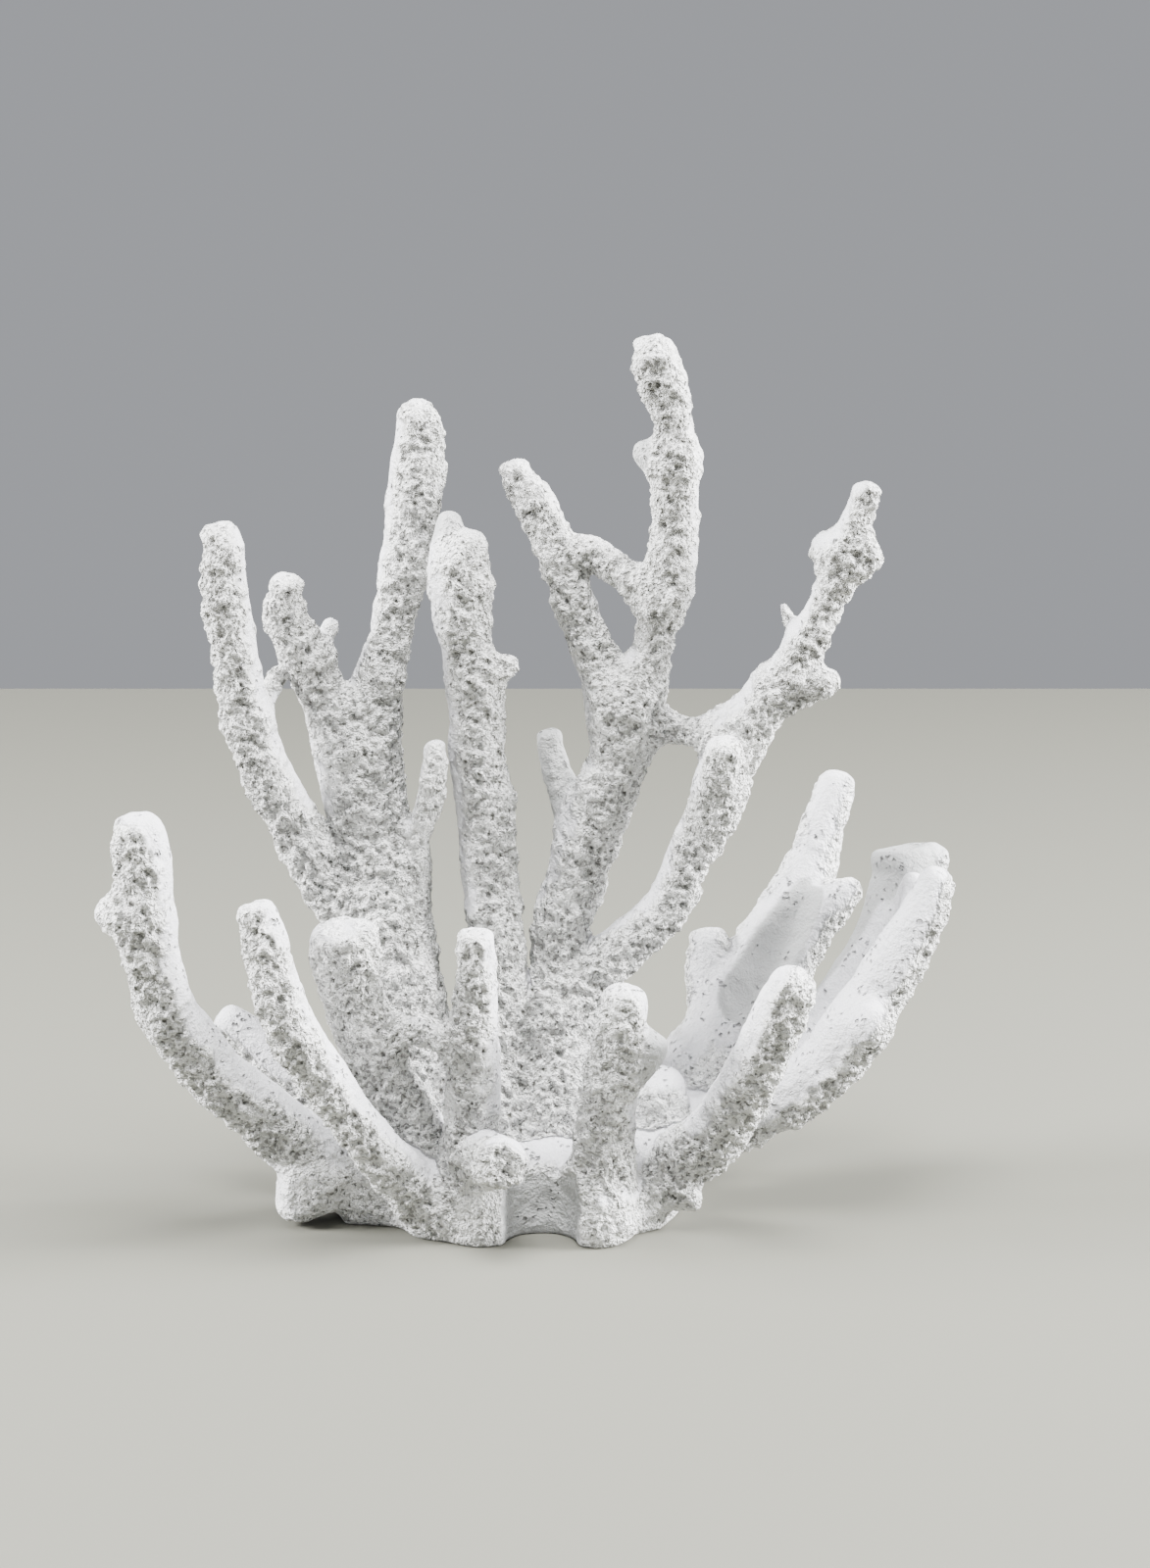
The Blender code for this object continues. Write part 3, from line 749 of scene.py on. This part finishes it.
best = crust_distance(outline_distance(vertices[:, 0], vertices[:, 1]), vertices[:, 2])
owner_at = np.zeros(len(vertices), int)
to_tip = np.full(len(vertices), NO_TIP)
polish_and_shade = np.full(len(vertices), CRUST_POLISH)
worn = np.zeros(len(vertices))
for limb, (path, radii, cut) in zip(LIMBS, paths):
    close = close_to(path, radii.max() + FAR + 1.0)
    gaps = np.linalg.norm(vertices[close, None, :] - path[None, :, :], axis=2) - radii[None, :]
    ball = gaps.argmin(axis=1)
    gap = gaps[np.arange(len(close)), ball]
    better = gap < best[close]
    chosen, ball = close[better], ball[better]
    best[chosen] = gap[better]
    stays = OWNERS.index(limb.grows_on or limb.owner)
    owner_at[chosen] = np.where(ball < cut, stays, OWNERS.index(limb.owner))
    steps = np.linalg.norm(np.diff(path, axis=0), axis=1)
    rest = np.concatenate((np.cumsum(steps[::-1])[::-1], [0.0]))
    to_tip[chosen] = NO_TIP if limb.bridge else rest[ball]
    polish_and_shade[chosen] = limb.polish_and_shade
    worn[chosen] = limb.worn
print(int((to_tip < 5.0).sum()), "vertices lie within 5 mm of a tip")

# %% The polish of the hollows, which above a half also paints their linings grey, as shade
HOLLOW_SKIN = 1.0
for hollow_polish_and_shade, path in hollows:
    close = close_to(path[:, :3], 12.0)
    gaps = np.linalg.norm(vertices[close, None, :] - path[None, :, :3], axis=2) - path[None, :, 3]
    inside_it = np.abs(gaps.min(axis=1)) < HOLLOW_SKIN
    polish_and_shade[close] = np.where(inside_it, hollow_polish_and_shade, polish_and_shade[close])
    print(int(inside_it.sum()), "vertices line a hollow")

# %% Votes that straighten the seams, and soft steps between finishes
VOTE_ROUNDS = 4
OWN_VOTE = 0.3
for _ in range(VOTE_ROUNDS):
    votes = np.stack([around((owner_at == n).astype(float)) for n in range(len(OWNERS))])
    votes[owner_at, np.arange(len(vertices))] += OWN_VOTE
    owner_at = votes.argmax(axis=0)
for _ in range(3):
    polish_and_shade = around(polish_and_shade)
bare = np.array([SMOOTH_SIDES[owner] for owner in OWNERS])[owner_at]
for _ in range(25):
    bare = around(bare)
print("vertices per piece:", dict(zip(OWNERS, np.bincount(owner_at).tolist())))

# %% [markdown]
# ## Noise as whole arrays
#
# The grown surface has lumps of 5 to 8 mm, a crumbly grain and pits of 1 to 2 mm. A Displace
# modifier could raise them, but the same values are also wanted as masks for the finish. So they are
# worked out here, from two kinds of noise: soft billows, and the distance to points scattered one to
# a cell.

# %% Two kinds of noise
NEIGHBOURHOOD = np.array([(i, j, k) for i in (-1, 0, 1) for j in (-1, 0, 1) for k in (-1, 0, 1)])

# The lattice is turned by two angles, or its layers would show as level bands round upright limbs.
LEAN, SWING = np.radians((37.0, 52.0))
LEANING = ((1, 0, 0), (0, np.cos(LEAN), -np.sin(LEAN)), (0, np.sin(LEAN), np.cos(LEAN)))
SWINGING = ((np.cos(SWING), 0, np.sin(SWING)), (0, 1, 0), (-np.sin(SWING), 0, np.cos(SWING)))
TURN = np.array(LEANING) @ np.array(SWINGING)


def scatter(cell, seed):
    """A number from 0 to 1 for each cell: its whole-number place times large odd numbers, mixed by
    shifts, so that neighbours have nothing in common."""
    mixed = cell[:, 0] * 73856093 ^ cell[:, 1] * 19349663 ^ cell[:, 2] * 83492791
    mixed = (mixed ^ seed * 2654435761) & 0xFFFFFFFF
    mixed ^= mixed >> 13
    mixed = (mixed * 1274126177) & 0xFFFFFFFF
    mixed ^= mixed >> 16
    return mixed / 4294967295.0


def billows(place, spacing, seed):
    """Soft noise from -1 to 1: random numbers on a lattice, blended across each cell with the weight
    3s^2 - 2s^3 along each axis."""
    scaled = place @ TURN / spacing
    cell = np.floor(scaled).astype(np.int64)
    share = scaled - cell
    share = share * share * (3.0 - 2.0 * share)
    total = np.zeros(len(place))
    for corner in CORNERS:
        total += np.prod(np.where(corner, share, 1.0 - share), axis=1) * scatter(cell + corner, seed)
    return 2.0 * total - 1.0


def seed_distance(place, spacing, seed):
    """Distance, in cells, to the nearest of the points scattered one to a cell."""
    scaled = place / spacing
    cell = np.floor(scaled).astype(np.int64)
    nearest = np.full(len(place), 9.0)
    for offset in NEIGHBOURHOOD:
        there = cell + offset
        point = there + np.stack([scatter(there, seed + axis) for axis in range(3)], axis=1)
        nearest = np.minimum(nearest, np.linalg.norm(scaled - point, axis=1))
    return nearest


def ease(value, start, end):
    """Rises from 0 at start to 1 at end as 3s^2 - 2s^3."""
    share = np.clip((value - start) / (end - start), 0.0, 1.0)
    return share * share * (3.0 - 2.0 * share)


sample = billows(vertices[:1000], 7.5, 1)
print("billows run from", round(float(sample.min()), 2), "to", round(float(sample.max()), 2))

# %% [markdown]
# ## Rough where the polyps sat
#
# The roughness isn't even. Tips, the tops of ledges, troughs and some flanks are smooth and powdery,
# the outer and front faces are pitted. A mask holds that for every vertex, with a wavy edge. It could
# be painted as vertex colours, but worked out from directions it fits every limb at once.

# %% The mask of rough skin
SIDE_ROUGH, FACE_ROUGH = 0.62, 0.38
FLANK_WEAR = 0.93
LEDGE_WEAR = 0.5
FOOT_ROUGH = 0.4
wander = billows(vertices, 9.0, 11) + 0.7 * billows(vertices, 3.5, 12)
wander += 0.6 * billows(vertices, 1.9, 13)
facing = ease(np.abs(normals[:, 1]) + 0.20 * wander, 0.15, 0.85)
towards = (normals * bare[:, :3]).sum(axis=1) + 0.22 * wander
flank = ease(towards - bare[:, 3], -0.30, 0.20)
tips = 1.0 - ease(to_tip + 2.0 * wander, -1.0, 4.5)
upward = ease(normals[:, 2] + 0.2 * wander, 0.55, 0.98)
rough = (SIDE_ROUGH + FACE_ROUGH * facing) * (1.0 - FLANK_WEAR * flank)
rough = rough * (1.0 - worn * tips) * (1.0 - LEDGE_WEAR * upward) * (1.0 - polish_and_shade)
rough[flat_foot] = FOOT_ROUGH
print("rough share of the skin:", round(float(rough.mean()), 2))

# %% [markdown]
# ## Lumps, crumbs and pits
#
# The relief is real geometry, down to the size of the mesh, so that it also shows on the outline. A
# bump in the material would leave every limb with a smooth edge. Heights are in millimetres.

# %% Raising the relief
LUMP = 0.9
KNOB = 0.9
CRUMB = 1.5
PIT = 0.7
still = ease(vertices[:, 2], 0.0, 3.0)
lumps = 0.6 * billows(vertices, 7.5, 1) + 0.4 * billows(vertices, 3.8, 2)
knobs = 0.55 - seed_distance(vertices + 1.5 * billows(vertices, 5.0, 4)[:, None], 7.0, 51)
crumbs = 0.35 * billows(vertices, 2.4, 3) + 0.65 * billows(vertices, 1.5, 5)
pit_place = vertices + 0.5 * np.stack([billows(vertices, 1.9, seed) for seed in (21, 22, 23)], axis=1)
pits = 1.0 - ease(seed_distance(pit_place, 2.0, 31), 0.22, 0.62)
gate = ease(billows(vertices, 3.3, 41) + 0.5 * (rough - 0.5), -0.35, 0.25)
pits *= gate * rough
rise = (LUMP * lumps + KNOB * knobs) * (0.45 + 0.55 * ease(rough, 0.0, 0.4))
rise += CRUMB * crumbs * (0.1 + 0.9 * rough) - PIT * pits
vertices = vertices + normals * (rise * still)[:, None]
vertices[:, 2] = np.maximum(vertices[:, 2], 0.0)
vertices[flat_foot, 2] = 0.0
normals = normals_of(vertices)
# How far the skin is dished in at each vertex; it guides the shade painted into the hollows.
recess_shade = ((around(around(vertices)) - vertices) * normals).sum(axis=1)
recess_shade = around(around(recess_shade))
print("rise from", round(float(rise.min()), 2), "to", round(float(rise.max()), 2), "mm")

# %% [markdown]
# ## Parting the skin into the frame's pieces
#
# Each piece takes the faces of its own limb. Its open rims could be left open, as nobody sees them,
# but a body for printing or weighing has to be closed. So each rim gets a fan to its middle, inside
# the coral. Neighbours share the rim's vertices and normals, so that no seam shows.

# %% The open rims of a piece
def rim_fans(own):
    """Directed edges of the faces that no neighbour of the same piece shares, with a number for each
    loop of them: the least vertex number that walking along the loop can reach."""
    start, end = own.ravel(), np.roll(own, -1, axis=1).ravel()
    size = len(vertices)
    open_edge = ~np.isin(start * size + end, end * size + start)
    start, end = start[open_edge], end[open_edge]
    loop = np.arange(size)
    while True:
        least = np.minimum(loop[start], loop[end])
        if np.array_equal(least, loop[start]) and np.array_equal(least, loop[end]):
            break
        np.minimum.at(loop, start, least)
        np.minimum.at(loop, end, least)
    return start, end, loop[start]


face_owner = owner_at[quads].min(axis=1)
print(len(rim_fans(quads[face_owner == 0])[0]), "open edges on", OWNERS[0])


# %% One mesh for each piece
MM = 0.001
MASKS = {"rough": rough, "pit": pits, "recess_shade": recess_shade, "polish_and_shade": polish_and_shade}


def build_piece(name, own):
    """Mesh of one piece: its quads, and a fan of triangles that closes each rim."""
    start, end, loop = rim_fans(own)
    loops, which = np.unique(loop, return_inverse=True)
    sums = [np.bincount(which, vertices[start, n], len(loops)) for n in range(3)]
    middles = np.stack(sums, axis=1) / np.bincount(which, minlength=len(loops))[:, None]
    used, renumbered = np.unique(own, return_inverse=True)
    rim_from, rim_to = np.searchsorted(used, end), np.searchsorted(used, start)
    fan = np.stack((rim_from, rim_to, len(used) + which), axis=1)
    places = np.vstack((vertices[used], middles)) * MM
    corners = np.concatenate((renumbered.ravel(), fan.ravel()))
    starts = np.concatenate((4 * np.arange(len(own)), 4 * len(own) + 3 * np.arange(len(fan))))
    mesh = bpy.data.meshes.new(name)
    mesh.vertices.add(len(places))
    mesh.vertices.foreach_set("co", places.ravel())
    mesh.loops.add(len(corners))
    mesh.loops.foreach_set("vertex_index", corners)
    mesh.polygons.add(len(starts))
    mesh.polygons.foreach_set("loop_start", starts)
    mesh.update(calc_edges=True)
    mesh.polygons.foreach_set("use_smooth", np.ones(len(starts), bool))
    for label, values in MASKS.items():
        values = np.concatenate((values[used], np.zeros(len(middles)))).astype(np.float32)
        mesh.attributes.new(label, "FLOAT", "POINT").data.foreach_set("value", values)
    upward = np.tile((0.0, 0.0, 1.0), (len(middles), 1))
    mesh.normals_split_custom_set_from_vertices(np.vstack((normals[used], upward)))
    piece = bpy.data.objects.new(name, mesh)
    bpy.context.scene.collection.objects.link(piece)
    return piece, 2 * len(own) + len(fan), len(loops)


pieces = {}
for number, owner in enumerate(OWNERS):
    piece, triangles, rims = build_piece("skin_" + owner, quads[face_owner == number])
    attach(piece, "root")
    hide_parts(owner)
    pieces[owner] = piece
    print(owner, triangles, "triangles,", rims, "closed rims")

# %% [markdown]
# ## The finish: chalk white with grey pits
#
# The skeleton is one material, aragonite, bleached white. Its colour comes from what lies in the pits,
# from how powdery the high spots are, and from shade painted into the crevices, pits and hollows
# and onto the greyer smooth faces. An image texture would have to be painted or photographed, so
# the pits, the grain and the powder are procedural. They read Object coordinates and the masks that
# are kept on the mesh.

# %% Shader maths as Python expressions
class Sock:
    """A number on its way through a shader: an expression on it adds its Math nodes."""

    def __init__(self, tree, socket):
        self.tree, self.socket = tree, socket

    def _math(self, operation, one, other):
        return self.tree.node("ShaderNodeMath", {"operation": operation}, {0: one, 1: other})

    def __add__(self, other):
        return self._math("ADD", self, other)

    def __sub__(self, other):
        return self._math("SUBTRACT", self, other)

    def __rsub__(self, other):
        return self._math("SUBTRACT", other, self)

    def __mul__(self, other):
        return self._math("MULTIPLY", self, other)

    __radd__ = __add__
    __rmul__ = __mul__

    def clamped(self):
        """The number held between 0 and 1."""
        return self.tree.node("ShaderNodeClamp", {}, {"Value": self})

    def ramp(self, start, end):
        """0 at start, 1 at end, eased between."""
        return self.tree.node(
            "ShaderNodeMapRange", {"interpolation_type": "SMOOTHSTEP"},
            {"Value": self, "From Min": start, "From Max": end},
        )


class Tree:
    """The nodes of one material."""

    def __init__(self, name):
        self.material = bpy.data.materials.new(name)
        self.material.use_nodes = True
        self.nodes = self.material.node_tree.nodes
        self.shader = self.nodes["Principled BSDF"]

    def node(self, kind, settings, values, output=0):
        """Add a node of a kind: its settings first, then the values or links of its sockets."""
        made = self.nodes.new(kind)
        for setting, value in settings.items():
            setattr(made, setting, value)
        for socket, value in values.items():
            self.feed(made.inputs[socket], value)
        return Sock(self, made.outputs[output])

    def feed(self, socket, value):
        """Link a socket, or set its value."""
        if isinstance(value, Sock):
            self.material.node_tree.links.new(value.socket, socket)
        else:
            socket.default_value = value

    def attribute(self, name):
        """A number kept on the mesh's vertices."""
        return self.node("ShaderNodeAttribute", {"attribute_name": name}, {}, "Fac")

    def noise(self, place, scale, detail=2.0, roughness=0.5, output=0):
        """Soft noise at a place, with its scale in ripples to the metre."""
        values = {"Vector": place, "Scale": scale, "Detail": detail, "Roughness": roughness}
        return self.node("ShaderNodeTexNoise", {}, values, output)

    def blend(self, share, one, other):
        """Mix of two colours."""
        colours = {"Factor": share, 6: one, 7: other}
        return self.node("ShaderNodeMix", {"data_type": "RGBA"}, colours, 2)


print(Sock.__name__, "carries a number and", Tree.__name__, "the nodes of a material")

# %% [markdown]
# ## Four tones of chalk
#
# High spots are nearly white stone. Smooth sides are a cool powder, darkened and cooled partly as
# painted shade, and the most polished faces take a grey that is painted shade. Dust and painted
# shade lie in the crevices, pits and hollows. One flat white with a bump would look like plaster.

# %% The coral's material
# Smooth faces: a cool grey powder, partly their own colour and partly painted shade, darker and bluer
# than lit stone.
SHADED_POWDER = (0.64, 0.64, 0.665, 1.0)
# The most polished faces: a darker grey that is painted shade.
SHADE_GREY = (0.38, 0.385, 0.385, 1.0)
STONE = (0.895, 0.895, 0.88, 1.0)
# Grey of the crevices, pits and hollows: dust, and painted shade where light reaches less.
PIT_DUST_AND_SHADE = (0.15, 0.148, 0.132, 1.0)
WARP = 0.0022
RELIEF = 0.0022


def bleached_coral():
    """Chalk white crumbs a millimetre wide, with dust and painted shade in the crevices of the rough
    skin.
    """
    tree = Tree("bleached_coral")
    place = tree.node("ShaderNodeTexCoord", {}, {}, "Object")
    rough_skin = tree.attribute("rough")
    pit_darkening = tree.attribute("pit")
    recess_darkening = tree.attribute("recess_shade")
    shade_share = tree.attribute("polish_and_shade")
    cloud = tree.noise(place, 150.0)
    crumb = tree.noise(place, 760.0, roughness=0.6)
    grain = tree.noise(place, 1700.0)
    warp = tree.noise(place, 700.0, detail=1.0, output="Color")
    bent = tree.node(
        "ShaderNodeVectorMath", {"operation": "MULTIPLY_ADD"},
        {0: warp, 1: (WARP, WARP, WARP), 2: place}, "Vector",
    )
    hole = tree.node("ShaderNodeTexVoronoi", {}, {"Vector": bent, "Scale": 480.0}, "Distance")
    zone = (cloud - 0.5) * 0.20 + (rough_skin - 0.5) * 0.10
    # Darkening in the crevices, pits and hollows of the rough skin: partly dust, partly painted shade.
    crevice_darkening = (zone + 0.42 - crumb).ramp(0.0, 0.035) * rough_skin.ramp(0.02, 0.5)
    holes = (1.0 - hole.ramp(0.10, 0.32)) * (cloud + rough_skin * 0.2).ramp(0.50, 0.64)
    dust_and_shade = crevice_darkening * 0.62 + holes * 0.62 + pit_darkening * 0.10 + recess_darkening.ramp(0.0, 0.25) * rough_skin * 0.10
    # The smooth faces turn to the painted shade grey as their polish rises above a half.
    smooth_and_shade_tone = tree.blend(shade_share.ramp(0.5, 0.85), SHADED_POWDER, SHADE_GREY)
    stone = tree.blend(rough_skin.ramp(0.0, 0.5), smooth_and_shade_tone, STONE)
    colour = tree.blend(dust_and_shade.clamped(), stone, PIT_DUST_AND_SHADE)
    grit = crumb * rough_skin.ramp(-0.1, 0.6) * 2.4 + grain * (rough_skin * 0.6 + 0.12)
    bumps = {"Strength": 1.0, "Distance": RELIEF, "Height": grit - holes * 1.2}
    bump = tree.node("ShaderNodeBump", {}, bumps)
    tree.feed(tree.shader.inputs["Base Color"], colour)
    tree.feed(tree.shader.inputs["Normal"], bump)
    tree.shader.inputs["Roughness"].default_value = 0.92
    tree.shader.inputs["Specular IOR Level"].default_value = 0.25
    return tree.material


coral = bleached_coral()
for piece in pieces.values():
    piece.data.materials.append(coral)
print("material", coral.name, "has", len(coral.node_tree.nodes), "nodes")

# %% [markdown]
# ## The setting
#
# A pale table that ends behind the coral and a grey room make a plain studio. One lamp would throw a
# hard shadow, so the light is soft: two panels at the sides for the bright rims, one above, and a
# weak one in front.

# %% Table and room
def slab(name, low, high):
    """Box from its two corners, in metres."""
    sides = np.array((low, high))
    places = [[sides[i, 0], sides[j, 1], sides[k, 2]] for i in (0, 1) for j in (0, 1) for k in (0, 1)]
    faces = ((0, 1, 3, 2), (4, 6, 7, 5), (0, 4, 5, 1), (2, 3, 7, 6), (0, 2, 6, 4), (1, 5, 7, 3))
    mesh = bpy.data.meshes.new(name)
    mesh.from_pydata(places, [], faces)
    box = bpy.data.objects.new(name, mesh)
    bpy.context.scene.collection.objects.link(box)
    return box


table_top = slab("table_top", (-2.0, -2.5, -0.03), (2.0, 0.73, 0.0))
table_tree = Tree("pale_table")
table_tree.shader.inputs["Base Color"].default_value = (0.118, 0.1175, 0.096, 1.0)
table_tree.shader.inputs["Roughness"].default_value = 0.8
table_top.data.materials.append(table_tree.material)

room = bpy.data.worlds.new("grey_room")
room.use_nodes = True
room.node_tree.nodes["Background"].inputs["Color"].default_value = (0.375, 0.385, 0.41, 1.0)
room.node_tree.nodes["Background"].inputs["Strength"].default_value = 1.0
bpy.context.scene.world = room
print("table with", len(table_top.data.vertices), "corners, room colour", room.name)


# %% Soft panels
def soft_panel(name, place, aim, size, watts):
    """Square area light at a place, turned to face a point."""
    light = bpy.data.lights.new(name, "AREA")
    light.shape, light.size, light.energy = "SQUARE", size, watts
    panel = bpy.data.objects.new(name, light)
    panel.location = place
    panel.rotation_euler = (aim - panel.location).to_track_quat("-Z", "Y").to_euler()
    bpy.context.scene.collection.objects.link(panel)
    return panel


heart = Vector((0.0, 0.0, 0.11))
soft_panel("left_panel", (-1.15, -0.1, 0.6), heart, 0.5, 86.0)
soft_panel("right_panel", (1.1, -0.05, 0.55), heart, 0.5, 108.0)
soft_panel("top_panel", (0.0, -0.3, 1.2), heart, 0.5, 46.0)
soft_panel("front_panel", (0.0, -1.4, 0.7), heart, 0.8, 3.0)
print(len(bpy.data.lights), "panels")

# %% [markdown]
# ## The camera
#
# The photograph looks slightly down on the coral from about a metre away, which shows in how little
# the near limbs grow against the far ones. A longer lens from further off would flatten the coral.

# %% Camera
camera_data = bpy.data.cameras.new("camera")
camera_data.lens = 90.0
camera_data.sensor_fit = "VERTICAL"
camera_data.sensor_height = 36.0
camera = bpy.data.objects.new("camera", camera_data)
tilt = np.radians(12.0)
camera.location = (0.016, -np.cos(tilt), 0.112 + np.sin(tilt))
camera.rotation_euler = (np.radians(78.0), 0.0, 0.0)
bpy.context.scene.collection.objects.link(camera)
bpy.context.scene.camera = camera
print("camera at", [round(side, 3) for side in camera.location])
